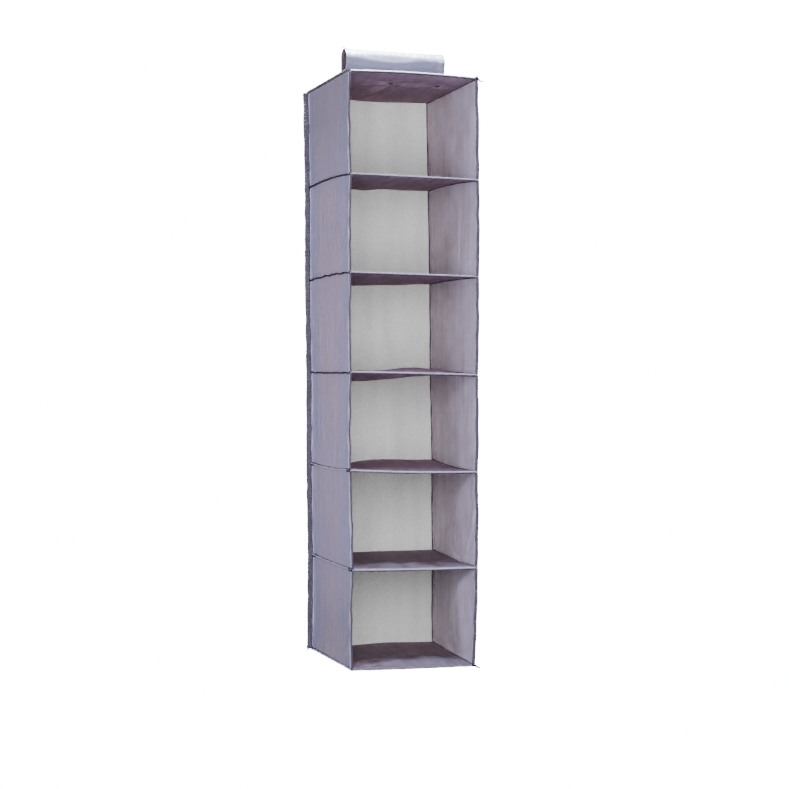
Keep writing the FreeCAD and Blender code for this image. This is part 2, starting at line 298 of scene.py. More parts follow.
def add_stitches(mesher, line, normals, stitch, material):
    """A row of short thread stitches lying along a line of points."""
    spacing, length, radius = np.array(stitch) * MM
    steps = np.linalg.norm(np.diff(line, axis=0), axis=1)
    run = np.concatenate([[0], np.cumsum(steps)])
    middles = np.arange(spacing, run[-1] - spacing, spacing)

    def along(values, at):
        return np.stack([np.interp(at, run, values[:, i]) for i in range(3)], axis=1)

    start, end = along(line, middles - length / 2), along(line, middles + length / 2)
    lift = along(np.broadcast_to(normals, line.shape), middles) * radius
    side = np.cross(end - start, lift)
    side = side / np.maximum(np.linalg.norm(side, axis=1, keepdims=True), 1e-12) * radius
    for a, b, up, out in zip(start, end, lift, side):
        points = [a - up * 0.8, b - up * 0.8]
        for share in (0.22, 0.78):
            at = a + (b - a) * share
            points += [at + up * 1.2, at + out, at - up * 0.6, at - out]
        mesher.add(points, (STITCH_FACES, material))


# Materials

class Nodes:
    """Short hand for building a shader tree."""

    def __init__(self, name):
        self.material = bpy.data.materials.new(name)
        self.material.use_nodes = True
        self.tree = self.material.node_tree
        self.shader = self.tree.nodes["Principled BSDF"]
        self.place = self.make("ShaderNodeTexCoord").outputs["Object"]

    def make(self, kind, inputs=(), **settings):
        node = self.tree.nodes.new(kind)
        for key, value in settings.items():
            setattr(node, key, value)
        self.set(node, inputs)
        return node

    def set(self, node, inputs):
        """Sets a node's sockets to constants, or links other sockets to them."""
        for key, value in dict(inputs).items():
            if isinstance(value, bpy.types.NodeSocket):
                self.tree.links.new(value, node.inputs[key])
            else:
                node.inputs[key].default_value = value

    def math(self, operation, a, b):
        return self.make("ShaderNodeMath", {0: a, 1: b}, operation=operation).outputs[0]

    def mix(self, share, a, b, blend_type="MIX"):
        return self.make("ShaderNodeMix", {0: share, 6: a, 7: b}, data_type="RGBA",
                         blend_type=blend_type).outputs[2]

    def shaded(self, colour, tone):
        """A colour made lighter or darker by a tone."""
        rgb = self.make("ShaderNodeCombineColor", {0: tone, 1: tone, 2: tone}).outputs[0]
        return self.mix(1.0, colour, rgb, "MULTIPLY")

    def axis(self, name):
        return self.make("ShaderNodeSeparateXYZ", {0: self.place}).outputs[name]

    def level(self, value, low, high, to_low, to_high):
        names = ("Value", "From Min", "From Max", "To Min", "To Max")
        return self.make(
            "ShaderNodeMapRange", zip(names, (value, low, high, to_low, to_high))).outputs[0]

    def noise(self, scale, detail, stretch=(1, 1, 1)):
        mapping = self.make("ShaderNodeMapping", {"Vector": self.place, "Scale": stretch})
        return self.make("ShaderNodeTexNoise", {
            "Vector": mapping.outputs[0], "Scale": scale, "Detail": detail}).outputs[0]

    def patches(self, scale, detail, low, high):
        """A value that drifts between two others over the surface."""
        return self.level(self.noise(scale, detail), 0.3, 0.7, low, high)

    def threads(self, direction, pitch, wander=0.6):
        """Rows of threads across one axis, one thread to each pitch."""
        return self.make("ShaderNodeTexWave", {
            "Vector": self.place, "Scale": math.tau / (20 * pitch), "Distortion": wander,
            "Detail": 1.0, "Detail Scale": 0.4}, bands_direction=direction).outputs[1]

    def bump(self, height, distance, strength, **more):
        inputs = {"Height": height, "Distance": distance, "Strength": strength, **more}
        return self.make("ShaderNodeBump", inputs).outputs[0]


def grey(value):
    return (value, value, value, 1)


def cloth(name, tint, second_tint, axes, pitch=0.9 * MM, streak=0.14, weave=0.08,
          roughness=0.55, sheen=0.2, gloss=0.35, crease=0.0016, painted_edge_sheen=None, painted_front_light=None,
          painted_light_zone=(-0.12, 0.06), painted_end_shade=None, streak_scale=75, mottle=0.03, see_through=0.0):
    """Woven cloth: threads along two axes, long soft creases and streaks, and a drift between
    two tints. A painted edge sheen colours the cloth towards both ends of its depth, and painted
    front light lightens it towards the open front. A painted end shade darkens it towards the
    organizer's top and bottom."""
    n = Nodes(name)
    warp, weft = (n.math("MULTIPLY", n.threads(axis, pitch), 0.5) for axis in axes)
    over = n.math("ADD", warp, weft)
    long_way = tuple(4 if axis == axes[1] else streak_scale for axis in "XYZ")
    drift = n.level(n.noise(9.0, 2.0), 0.35, 0.65, 0.0, 1.0)
    colour = n.mix(drift, (*tint, 1), (*second_tint, 1))
    # Painted sheen: the colour turns towards the edge tint near both ends of the cloth's depth.
    if painted_edge_sheen:
        depth = n.math("ABSOLUTE", n.axis("Y"), 0.0)
        away = n.math("ADD", depth, n.patches(12.0, 2.0, -0.03, 0.03))
        colour = n.mix(n.level(away, 0.05, 0.13, 0.0, 1.0), colour, (*painted_edge_sheen, 1))
    # Painted light: a lighter colour towards the open front, with a wavy border.
    if painted_front_light:
        near = n.math("ADD", n.axis("Y"), n.patches(14.0, 3.0, -0.055, 0.055))
        colour = n.mix(n.level(near, *painted_light_zone, 1.0, 0.0), colour, (*painted_front_light, 1))
    tone = n.level(n.noise(1.0, 4.0, long_way), 0.3, 0.7, 1 - streak, 1 + streak)
    tone = n.math("MULTIPLY", tone, n.level(over, 0.0, 1.0, 1 - weave, 1 + weave))
    tone = n.math("MULTIPLY", tone, n.patches(230.0, 2.0, 1 - mottle, 1 + mottle))
    # Painted shade: darker towards the organizer's top and bottom.
    if painted_end_shade:
        from_middle = n.math("ABSOLUTE", n.math("ADD", n.axis("Z"), 0.70), 0.0)
        tone = n.math("MULTIPLY", tone, n.level(from_middle, 0.40, 0.56, 1.0, painted_end_shade))
    colour = n.shaded(colour, tone)
    creases = n.bump(n.noise(1.0, 3.0, long_way), crease, 0.6)
    normal = n.bump(over, 0.0002, 0.5, Normal=creases)
    n.set(n.shader, {
        "Base Color": colour, "Roughness": n.patches(60.0, 2.0, roughness - 0.06, roughness + 0.06),
        "Specular IOR Level": gloss, "Sheen Weight": sheen, "Sheen Roughness": 0.4, "Normal": normal})
    if see_through:
        glow = n.make("ShaderNodeBsdfTranslucent", {"Color": colour, "Normal": normal})
        both = n.make("ShaderNodeMixShader", {
            0: see_through, 1: n.shader.outputs[0], 2: glow.outputs[0]})
        n.set(n.tree.nodes["Material Output"], {"Surface": both.outputs[0]})
    return n.material


def ribbed_tape(name, tint, rib_axis, pitch=1.4 * MM, roughness=0.8, depth=0.0004, contrast=0.14):
    """Binding tape with fine ribs across its length."""
    n = Nodes(name)
    ribs = n.threads(rib_axis, pitch, wander=0.3)
    wear = n.patches(40.0, 4.0, 0.8, 1.18)
    tone = n.math("MULTIPLY", wear, n.level(ribs, 0.0, 1.0, 1 - contrast, 1 + contrast))
    n.set(n.shader, {"Base Color": n.shaded((*tint, 1), tone), "Roughness": roughness,
                     "Specular IOR Level": 0.12, "Normal": n.bump(ribs, depth, 0.7)})
    return n.material


def board_material(name):
    """Grey-brown board with fibre flecks."""
    n = Nodes(name)
    flecks = n.level(n.noise(400.0, 3.0, (1, 0.3, 1)), 0.4, 0.6, 0.0, 1.0)
    n.set(n.shader, {"Base Color": n.mix(flecks, (0.30, 0.25, 0.19, 1), (0.40, 0.34, 0.26, 1)),
                     "Roughness": 0.85, "Normal": n.bump(flecks, 0.0002, 0.4)})
    return n.material


def fastener(name, tint, grain, depth):
    """Hook or loop tape: a close pile of dots or fuzz."""
    n = Nodes(name)
    pile = n.make("ShaderNodeTexVoronoi", {"Vector": n.place, "Scale": 1 / grain}).outputs["Distance"]
    fuzz = n.math("MULTIPLY", n.noise(900.0, 3.0), 0.5)
    height = n.math("ADD", n.math("MULTIPLY", pile, -1.0), fuzz)
    tone = n.level(height, -0.8, 0.4, 0.7, 1.25)
    n.set(n.shader, {"Base Color": n.shaded((*tint, 1), tone), "Roughness": 0.8,
                     "Normal": n.bump(height, depth, 0.8)})
    return n.material


# Painted sheen: bluer towards the walls' front and back edges. Painted shade: darker towards the organizer's
# top and bottom.
wall_cloth = cloth("wall_cloth", (0.270, 0.212, 0.400), (0.300, 0.226, 0.380), "YZ", streak=0.09,
                   painted_edge_sheen=(0.215, 0.208, 0.410), painted_end_shade=0.78)
# Painted light and shade: lighter towards the open front, darker towards the back.
wall_lining = cloth("wall_lining", (0.320, 0.248, 0.322), (0.270, 0.208, 0.268), "YZ", streak=0.13,
                    gloss=0.15, streak_scale=45, painted_front_light=(0.440, 0.375, 0.545))
# Painted highlight: a paler copy of the wall cloth for hems and ridges that catch the light.
painted_highlight_band = cloth("painted_highlight_band", (0.560, 0.520, 0.740), (0.520, 0.480, 0.690), "YZ", streak=0.06)
# Painted light: a wavy pool of light along the floors' front.
floor_cloth = cloth("floor_cloth", (0.135, 0.092, 0.120), (0.118, 0.082, 0.108), "XY",
                    streak=0.12, crease=0.0012, roughness=0.85, sheen=0.0, gloss=0.05,
                    painted_front_light=(0.205, 0.185, 0.272), painted_light_zone=(-0.125, -0.045))
# Painted shade: a darker copy of the cloth for the top panel's upper face, under the strong overhead light.
painted_shade_top = cloth("painted_shade_top", (0.090, 0.076, 0.125), (0.082, 0.070, 0.112), "XY", streak=0.10,
                  roughness=0.8, sheen=0.0, gloss=0.1)
# Painted light: lighter towards the open front.
shelf_cloth = cloth("shelf_cloth", (0.185, 0.118, 0.158), (0.162, 0.102, 0.138), "XY",
                    streak=0.12, crease=0.0010, roughness=0.85, sheen=0.0, gloss=0.05,
                    painted_front_light=(0.205, 0.140, 0.215))
hem_cloth = cloth("hem_cloth", (0.330, 0.305, 0.440), (0.31, 0.29, 0.42), "XZ", streak=0.08)
# Painted shade: a darker copy of the hem's cloth for the hem's lower half.
hem_painted_shade = cloth("hem_painted_shade", (0.130, 0.110, 0.180), (0.115, 0.098, 0.160), "XZ", streak=0.08)
back_weave = cloth("back_mesh", (0.60, 0.60, 0.59), (0.56, 0.56, 0.555), "XZ", pitch=1.7 * MM,
                   streak=0.06, weave=0.16, roughness=0.8, sheen=0.1, gloss=0.1, streak_scale=40,
                   mottle=0.09, crease=0.004, see_through=0.25)
strap_cloth = cloth("strap_cloth", (0.082, 0.088, 0.150), (0.076, 0.082, 0.146), "XZ",
                    roughness=0.42, sheen=0.3, gloss=1.0, streak=0.10)
strap_lining = cloth("strap_lining", (0.115, 0.096, 0.120), (0.100, 0.084, 0.106), "XZ",
                     roughness=0.9, sheen=0.0, gloss=0.05)
tape_upright = ribbed_tape("binding_tape_upright", (0.060, 0.052, 0.088), "Z")
tape_level = ribbed_tape("binding_tape_level", (0.030, 0.022, 0.036), "X")
tape_side = ribbed_tape("binding_tape_side", (0.030, 0.022, 0.036), "Y")
flange_tape = ribbed_tape("binding_tape_flange", (0.074, 0.066, 0.102), "Z", pitch=4.5 * MM,
                          depth=0.0014, contrast=0.35)
thread = ribbed_tape("thread", (0.30, 0.28, 0.40), "Z", pitch=0.5 * MM, roughness=0.5)
dark_thread = ribbed_tape("dark_thread", (0.022, 0.018, 0.028), "Z", pitch=0.5 * MM, roughness=0.5)
board_card = board_material("stiffener_board")
hook_pile = fastener("hook_tape", (0.30, 0.29, 0.36), 1.3 * MM, 0.0006)
loop_pile = fastener("loop_tape", (0.34, 0.33, 0.40), 0.7 * MM, 0.0004)


# Cloth panels: walls and backs, hung between the seams and settled by cloth simulation

WALL_ROWS, WALL_COLUMNS = 73, 41     # across the depth or width, and down the height
ACROSS = np.linspace(0, 1, WALL_ROWS)[:, None]
DOWN = np.linspace(0, 1, WALL_COLUMNS)[None, :]


def hung_grid(top, bottom):
    """Grid of points hung straight from a line of points on the seam above to one below."""
    t = DOWN[:, :, None]
    return top[:, None, :] * (1 - t) + bottom[:, None, :] * t


def side_line(number, side, y):
    """Points down a side seam of a shelf, in the middle of the wall's cloth."""
    x = side * (HALF_W - WALL_THICK / 2 + seam_out(number, side, y))
    return np.stack([x, y, shelf_height(number, float(side), y)], axis=1)


def back_line(number, u):
    """Points along a shelf's back seam, between the two walls."""
    y = np.full(len(u), BACK - BACK_THICK / 2)
    return np.stack([across_shelf(number, u, y, WALL_THICK), y, shelf_height(number, u, y)], axis=1)


def upright_folds(seed, s, t):
    """Soft folds hanging from the seam above: sharp near it, wider and weaker below."""
    draw = random.Random(seed)
    total = 0
    for _ in range(7):
        place, lean = draw.uniform(0.05, 0.95), draw.uniform(-0.12, 0.12)
        breadth, height = draw.uniform(0.025, 0.07), draw.uniform(-1, 1)
        start, length = draw.uniform(-0.1, 0.5), draw.uniform(0.4, 1.0)
        along = np.exp(-((t - start - length / 2) / (0.55 * length)) ** 4)
        total = total + height * bell(s - place - lean * t, breadth) * along
    return total


def wall_grid(tier, side):
    y = np.linspace(FRONT, BACK, WALL_ROWS)
    grid = hung_grid(side_line(tier - 1, side, y), side_line(tier, side, y))
    s, t = ACROSS, DOWN
    seed = 100 * tier + (1 if side > 0 else 2)
    draw = random.Random(seed)
    fade = np.sin(np.pi * t) ** 0.6 * np.clip(np.sin(np.pi * s) * 6, 0, 1)
    billow = draw.uniform(0.5, 2.5) * np.sin(np.pi * s) * np.sin(np.pi * t)
    folds = ripple_2d(seed, 5, 0.20, 0.45, stretch=5.0)(s, t) + 1.3 * upright_folds(seed + 7, s, t)
    edge = np.sin(np.pi * t) ** 0.8 * (EDGE_SWELL[side][tier - 1] + 1.0 * ripple(seed, 3, 0.2, 0.6)(t))
    edge = edge * np.clip(1 - s * 2.2, 0, 1) ** 1.5
    rear = 0.6 * np.sin(np.pi * t) * ripple(seed + 50, 3, 0.3, 0.8)(t) * s ** 4
    start, drift = SHOULDER_PLACE[side]
    place = start + drift * t * (tier / TIERS if side > 0 else 0)
    behind = bell(s - place, 0.30)
    if side > 0 and tier > 4:
        # A broad fold that curves down from the front corner
        place = 0.03 + 0.42 * (1 - np.exp(-t / 0.2))
        behind = np.exp(-np.clip(s - place, 0, 1) / 0.22)
    ahead = np.clip(s / np.maximum(place, 0.06), 0, 1) ** 0.8
    shoulder = np.where(s < place, ahead, behind)
    shoulder = SHOULDER[side][tier - 1] * shoulder * np.sin(np.pi * t) ** 0.5
    grid[:, :, 0] += side * (billow + 1.5 * folds * fade + edge + rear + shoulder) * MM
    return grid


def seam_fold(tier, side, grid):
    """A puffed fold of the wall beside its back seam, with a crease in front of it."""
    s, t = ACROSS, DOWN
    swell = 0.75 + 0.35 * ripple(60 * tier + side, 4, 0.12, 0.5)(t)
    if tier == 1:
        swell = swell * (1 - 0.9 * bell(t - 0.36, 0.07))
    fade = np.clip(np.sin(np.pi * t) * 7, 0, 1) * swell
    middle = 0.955 - 0.006 * ripple(61 * tier + side, 3, 0.3, 0.8)(t)
    grid[:, :, 0] += side * fade * (3.4 * bell(s - middle, 0.022)
                                    - 1.3 * bell(s - middle + 0.055, 0.018)) * MM
    return grid


def back_grid(tier):
    u = np.linspace(-1, 1, WALL_ROWS)
    grid = hung_grid(back_line(tier - 1, u), back_line(tier, u))
    s, t = ACROSS, DOWN
    folds = ripple_2d(300 + tier, 5, 0.25, 0.5, stretch=5.0)(s, t) + upright_folds(330 + tier, s, t)
    fade = np.sin(np.pi * t) ** 0.7 * np.sin(np.pi * s) ** 0.5
    billow = 2.5 * np.sin(np.pi * t) * np.sin(np.pi * s)
    grid[:, :, 1] += (2.2 * folds * fade + billow) * MM
    return grid


def keep_behind_shelves(grid):
    """Softly limits how far a back's folds reach forward, so that no shelf's rear edge comes out
    through the cloth when the tiers fold up."""
    plane, blend, kept = BACK - BACK_THICK / 2, 0.8 * MM, 0.08
    off = grid[:, :, 1] - plane
    grid[:, :, 1] = plane + ((1 + kept) * off + (1 - kept) * (np.hypot(off, blend) - blend)) / 2


LIMP_CLOTH = {"quality": 5, "mass": 0.15, "tension_stiffness": 18, "compression_stiffness": 18,
              "shear_stiffness": 6, "bending_stiffness": 1.2, "air_damping": 3}
SETTLE_STEPS = 18
MOST_SETTLING = 5 * MM
SLACK = 0.012


def settle(grids, slack_axis):
    """Hangs every grid as cloth held at its border, cut a little too wide, and lets Blender's
    cloth find the folds. Returns the settled grids."""
    scene = bpy.context.scene
    limp = []
    for grid, axis in zip(grids, slack_axis):
        rows, columns = grid.shape[:2]
        mesh = bpy.data.meshes.new("hung")
        mesh.from_pydata(grid.reshape(-1, 3).tolist(), [], grid_faces(rows, columns))
        piece = bpy.data.objects.new("hung", mesh)
        scene.collection.objects.link(piece)
        piece.vertex_groups.new(name="held").add(border_of(rows, columns), 1.0, "REPLACE")
        piece.shape_key_add(name="Basis")
        cut = piece.shape_key_add(name="cut")
        wide = grid.copy()
        centre = wide[:, :, axis].mean()
        wide[:, :, axis] = centre + (wide[:, :, axis] - centre) * (1 + SLACK)
        cut.data.foreach_set("co", wide.ravel())
        cut.value = 0
        modifier = piece.modifiers.new("cloth", "CLOTH")
        for key, value in LIMP_CLOTH.items():
            setattr(modifier.settings, key, value)
        modifier.settings.vertex_group_mass = "held"
        modifier.settings.rest_shape_key = cut
        modifier.collision_settings.use_collision = False
        modifier.point_cache.frame_start = 1
        modifier.point_cache.frame_end = 30
        limp.append(piece)
    for step in range(1, SETTLE_STEPS + 1):
        scene.frame_set(step)
    graph = bpy.context.evaluated_depsgraph_get()
    settled = []
    for piece, grid in zip(limp, grids):
        shown = piece.evaluated_get(graph).to_mesh()
        points = np.zeros(grid.size)
        shown.vertices.foreach_get("co", points)
        move = points.reshape(grid.shape) - grid
        length = np.linalg.norm(move, axis=2, keepdims=True)
        settled.append(grid + move * np.minimum(1, MOST_SETTLING / np.maximum(length, 1e-9)))
    for piece in limp:
        mesh = piece.data
        bpy.data.objects.remove(piece)
        bpy.data.meshes.remove(mesh)
    scene.frame_set(1)
    return settled


panels = {}
for tier in range(1, TIERS + 1):
    for side, side_name in SIDES:
        panels[tier, side_name] = wall_grid(tier, side)
    panels[tier, "back"] = back_grid(tier)
keys = list(panels)
settled = settle([panels[k] for k in keys], [0 if k[1] == "back" else 1 for k in keys])
panels = dict(zip(keys, settled))
for tier in range(1, TIERS + 1):
    back = panels[tier, "back"]
    keep_behind_shelves(back)
    shift = 0
    for side, side_name, weight in ((-1, "left", 1 - ACROSS), (1, "right", ACROSS)):
        panels[tier, side_name] = seam_fold(tier, side, panels[tier, side_name])
        edge = panels[tier, side_name][-1, :, 0] - side * WALL_THICK / 2
        shift = shift + weight * (edge - back[0 if side < 0 else -1, :, 0])[None, :]
    back[:, :, 0] += shift


def on_tier(piece, tier):
    """The piece hangs from the shelf above, on a mesh of its own."""
    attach(piece, SHELF_BODY[tier - 1])
    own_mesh(piece)


# Distances across an edge and off the cloth's face, round the outside and back along the inside
HEM_FOLD = ((11, 0.5), (10.6, 1.0), (8.6, 1.25), (7.6, 0.95), (6.4, 1.25), (3, 1.35), (0.6, 1.25),
            (-0.4, 0.7), (-0.7, 0), (-0.4, -0.7), (0.6, -1.25), (3, -1.35), (6.4, -1.25),
            (7.6, -0.95), (8.6, -1.25), (10.6, -1.0), (11, -0.5), (0.4, -0.5), (0.4, 0.5))
EDGE_TAPE = ((2.4, 1.25), (2.2, 1.7), (1.2, 1.85), (0.2, 1.7), (-1.0, 1.0), (-1.5, 0),
             (-1.0, -1.0), (0.2, -1.7), (1.2, -1.85), (2.2, -1.7), (2.4, -1.25),
             (0.4, -1.2), (-0.5, -0.6), (-0.5, 0.6), (0.4, 1.2))


def edge_wobble(tier, side):
    """How a wall's front edge wanders forward and back, in millimetres."""
    return ripple(40 * tier + side, 3, 0.15, 0.4)


def edge_rings(grid, side, section, wobble):
    """Rings of a folded tape that follows the front edge of a wall from seam to seam."""
    depth, off = np.array(section).T * MM
    t = np.linspace(0.006, 0.994, 90)[:, None]
    place, normal = sample(grid, np.maximum(depth, 0)[None, :] / DEPTH, t)
    points = place + normal * np.sign(normal[..., :1]) * side * off[None, :, None]
    points[..., 1] += np.minimum(depth, 0)[None, :] + wobble(t) * MM
    return points


def paint_ridge_highlight(mesher, tier, side):
    """Paints a highlight on the puffed fold beside the back seam, in the hem's paler material. In the top
    tier the left fold is broken by a crease."""
    per_row = WALL_COLUMNS - 1
    for row in range(WALL_ROWS - 5, WALL_ROWS - 2):
        for column in range(per_row):
            if tier == 1 and side < 0 and 0.32 < column / per_row < 0.42:
                continue
            mesher.materials[row * per_row + column] = 3


def make_wall(tier, side, side_name):
    grid = panels[tier, side_name]
    mesher = Mesher()
    thick_sheet(mesher, grid, WALL_THICK, (side, 0, 0), (0, 1, 1))
    paint_ridge_highlight(mesher, tier, side)
    # The folded hem takes the paler material: painted highlight.
    mesher.tube(edge_rings(grid, side, HEM_FOLD, edge_wobble(tier, side)), 3)
    t = np.linspace(0.01, 0.99, 60)
    for face in (1, -1):
        place, normal = sample(grid, 7.6 * MM / DEPTH, t)
        lean = normal * np.sign(normal[:, :1]) * side * face
        add_stitches(mesher, place + lean * 1.0 * MM, lean, FINE_STITCH, 2)
    piece = mesher.build(f"tier_{tier}_{side_name}_wall_cloth",
                         [wall_cloth, wall_lining, thread, painted_highlight_band])
    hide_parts(f"tier_{tier}_{side_name}_wall")
    on_tier(piece, tier)


def make_back(tier):
    mesher = Mesher()
    thick_sheet(mesher, panels[tier, "back"], BACK_THICK)
    piece = mesher.build(f"tier_{tier}_back_cloth", [back_weave])
    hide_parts(f"tier_{tier}_back")
    on_tier(piece, tier)


def make_front_tapes(tier):
    mesher = Mesher()
    for side, side_name, plump in ((-1, "left", 1.0), (1, "right", 1.9)):
        scallop, wobble = ripple(500 + tier * 2 + side, 4, 0.05, 0.2), edge_wobble(tier, side)
        section = [(depth, off * plump) for depth, off in EDGE_TAPE]
        mesher.tube(edge_rings(panels[tier, side_name], side, section,
                               lambda t: wobble(t) + 0.3 * scallop(t)))
    piece = mesher.build(f"tier_{tier}_front_tapes", [tape_upright])
    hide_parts(f"tier_{tier}_front_bindings")
    on_tier(piece, tier)


# Bound seam along a back edge: distance out from the wall, and distance behind the back's face
FLANGE_SECTION = ((-0.6, 0.2), (0.8, -0.9), (1.8, -0.2), (2.6, 0.5), (5, 0.35), (9, 0.3), (12.2, 0.1),
                  (13.2, -0.6), (13.4, -1.4), (13.0, -2.2), (12, -2.7), (9, -2.9), (5, -2.8),
                  (2.8, -2.6), (2.0, -2.0), (1.2, -3.4), (0.4, -4.2), (-0.6, -3.6))
FLANGE_PUCKERS = 8.5 * MM     # from one to the next
# A thin dark cord of turned-in cloth that fills an inside corner
CORNER_CORD = ((-1.3, 0), (-0.9, -0.9), (0, -1.3), (0.9, -0.9),
               (1.3, 0), (0.9, 0.9), (0, 1.3), (-0.9, 0.9))


def make_back_bindings(tier):
    """Ribbed bound seams that stand out sideways, with a soft ridge of wall cloth beside them."""
    mesher = Mesher()
    t = np.linspace(0, 1, 120)
    for side, side_name in SIDES:
        edge = panels[tier, side_name][-1]
        x, z = (np.interp(t, DOWN[0], edge[:, axis]) for axis in (0, 2))
        wander = ripple(700 + 2 * tier + side, 4, 0.12, 0.5)(t)
        puckers = np.sin(t * PITCH / FLANGE_PUCKERS * math.tau)
        rings = []
        for i in range(len(t)):
            out = 1 + 0.06 * wander[i] + 0.018 * puckers[i]
            plump = 1 + 0.10 * puckers[i]
            rings.append([
                (x[i] + side * (max(a, a * out) if a <= 2 else a * out) * MM,
                 BACK + b * plump * MM + 0.3 * wander[i] * MM, z[i]) for a, b in FLANGE_SECTION])
        mesher.tube(rings)
        mesher.tube([[(x[i] - side * (1.6 + a) * MM, BACK + (b - 2.0) * MM, z[i])
                      for a, b in CORNER_CORD] for i in range(len(t))], 2)
        for depth, facing in ((-2.75, -1), (0.4, 1)):
            line = np.stack([x + side * 3.4 * MM, np.full_like(x, BACK + depth * MM), z], axis=1)
            add_stitches(mesher, line, (0, facing, 0), FINE_STITCH, 1)
    piece = mesher.build(f"tier_{tier}_back_seams", [flange_tape, thread, tape_side])
    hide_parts(f"tier_{tier}_back_bindings")
    on_tier(piece, tier)


for tier in range(1, TIERS + 1):
    for side, side_name in SIDES:
        make_wall(tier, side, side_name)
    make_back(tier)
    make_front_tapes(tier)
    make_back_bindings(tier)


# Shelves: a stiff board in a cloth sleeve, a soft front hem, and a bound seam at each side

SHELF_STEPS = 59
STRAP_SEWN_AT = ((-0.024, -0.066), (0.088, -0.056))    # where the strap's ends pull at the top panel

# Folds hanging from the top panel's lower face: start, end, breadth to the left and to the right of
# the way from one to the other, depth, and whether the fold fades at its end
CEILING_FOLDS = (((-0.026, -0.073), (-0.049, 0.125), 0.014, 0.007, 7.0, True),
                 ((-0.028, -0.070), (-0.090, -0.015), 0.009, 0.009, 2.8, True),
                 ((0.078, -0.096), (0.127, -0.150), 0.070, 0.025, 4.0, False),
                 ((0.088, -0.056), (0.135, -0.015), 0.012, 0.009, 3.0, True))


def fold_depth(x, y, start, end, left, right, depth, fades):
    """A straight fold with one steep and one gentle side."""
    way = np.subtract(end, start)
    length = float(np.hypot(*way))
    way = way / length
    run = ((x - start[0]) * way[0] + (y - start[1]) * way[1]) / length
    off = (y - start[1]) * way[0] - (x - start[0]) * way[1]
    fade = np.clip(run / 0.2, 0, 1)
    if fades:
        fade = fade * np.clip((1 - run) / 0.4, 0, 1)
    return depth * fade * bell(off, np.where(off > 0, left, right))


def sleeve_plies(number):
    """Upper and lower faces of a sleeve."""
    u, y = np.meshgrid(np.linspace(-1, 1, SHELF_STEPS),
                       np.linspace(FRONT, BACK - BACK_THICK, SHELF_STEPS), indexing="ij")
    x = across_shelf(number, u, y, WALL_THICK)
    v = (y - FRONT) / DEPTH
    middle = shelf_height(number, u, y)
    inside = np.clip((1 - u ** 8) * (1 - (2 * v - 1) ** 8), 0, 1)
    puff_up, puff_down = PUFF[number]
    swell = (1 - u ** 2) * np.sin(np.pi * v)
    upper_folds = ripple_2d(900 + number, 6, 0.05, 0.16)(x, y)
    lower_folds = ripple_2d(950 + number, 6, 0.05, 0.16)(x, y)
    half = SHELF_THICK / 2
    upper = middle + half + (puff_up * swell + 0.7 * upper_folds) * inside * MM
    lower = middle - half - (puff_down * swell + 0.8 * lower_folds) * inside * MM
    roll = bell(v, 0.045)
    sag = 1 + 0.5 * ripple(970 + number, 5, 0.03, 0.12)(x)
    crest = FRONT_CREST[number] * sag * bell(v - 0.22, 0.15)
    upper = upper + (crest * inside - roll) * MM
    if number == 0:
        for px, py in STRAP_SEWN_AT:
            away = np.hypot(x - px, (y - py) * 1.3)
            turn = np.arctan2(y - py, x - px)
            rays = np.cos(5 * turn + 1.2) * np.exp(-away / 0.07) * (away / (away + 0.012))
            lower = lower + (1.4 * bell(away, 0.010) + 2.2 * rays - 0.8) * inside * MM
        for fold in CEILING_FOLDS:
            lower = lower - fold_depth(x, y, *fold) * inside * MM
    if number == TIERS:
        # The last panel's sleeve is loose and wrinkles towards two corners
        for px, py, spokes in ((0.13, 0.13, 13), (-0.13, -0.13, 11)):
            away = np.hypot(x - px, y - py)
            turn = np.arctan2(y - py, x - px)
            spread = away / 0.05 * np.exp(1 - away / 0.05)
            upper = upper + 1.1 * np.cos(spokes * turn + 25 * away) * spread * inside * MM
    return np.stack([x, y, upper], axis=2), np.stack([x, y, lower], axis=2)


def add_lump(mesher, centre, size, material):
    """A small rounded lump of gathered cloth or bar-tacked thread. Its size is in millimetres."""
    turns = np.linspace(0, math.tau, 10, endpoint=False)
    rings = []
    for height in (-0.97, -0.7, -0.25, 0.25, 0.7, 0.97):
        reach = math.sqrt(1 - height ** 2)
        rings.append([centre + np.array(size) * MM * (height, reach * math.cos(a), reach * math.sin(a))
                      for a in turns])
    mesher.tube(rings, material)


def make_sleeve(number):
    shelf = SHELVES[number]
    mesher = Mesher()
    upper, lower = sleeve_plies(number)
    mesher.shell(upper, lower, (1, 0, 0))
    if number == 0:
        for px, py in STRAP_SEWN_AT:
            i = int(round((px / HALF_W + 1) / 2 * (SHELF_STEPS - 1)))
            j = int(round((py - FRONT) / DEPTH * (SHELF_STEPS - 1)))
            add_lump(mesher, lower[i, j] - (0, 0, 0.3 * MM), (6.5, 3, 1.4), 2)
    # The top panel's upper face takes the darker copy, painted shade; floors of the lowest tiers take the
    # cloth with painted light along the front.
    upper_cloth = floor_cloth if number > 4 else shelf_cloth if number else painted_shade_top
    piece = mesher.build(shelf + "_sleeve_cloth", [shelf_cloth, upper_cloth, tape_side])
    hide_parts(shelf + "_sleeve")
    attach(piece, SHELF_BODY[number])


def make_board(number):
    """The board bends a little with its shelf."""
    shelf = SHELVES[number]
    low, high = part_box(shelf + "_board")
    x, y = np.meshgrid(*(np.linspace(low[axis], high[axis], 25) for axis in (0, 1)), indexing="ij")
    left, right = seam_out(number, -1, y) - HALF_W, seam_out(number, 1, y) + HALF_W
    middle = shelf_height(number, 2 * (x - left) / (right - left) - 1, y)
    plies = [np.stack([x, y, middle + off], axis=2) for off in (BOARD_THICK / 2, -BOARD_THICK / 2)]
    mesher = Mesher()
    mesher.shell(*plies)
    piece = mesher.build(shelf + "_board_card", [board_card])
    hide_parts(shelf + "_board")
    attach(piece, SHELF_BODY[number])


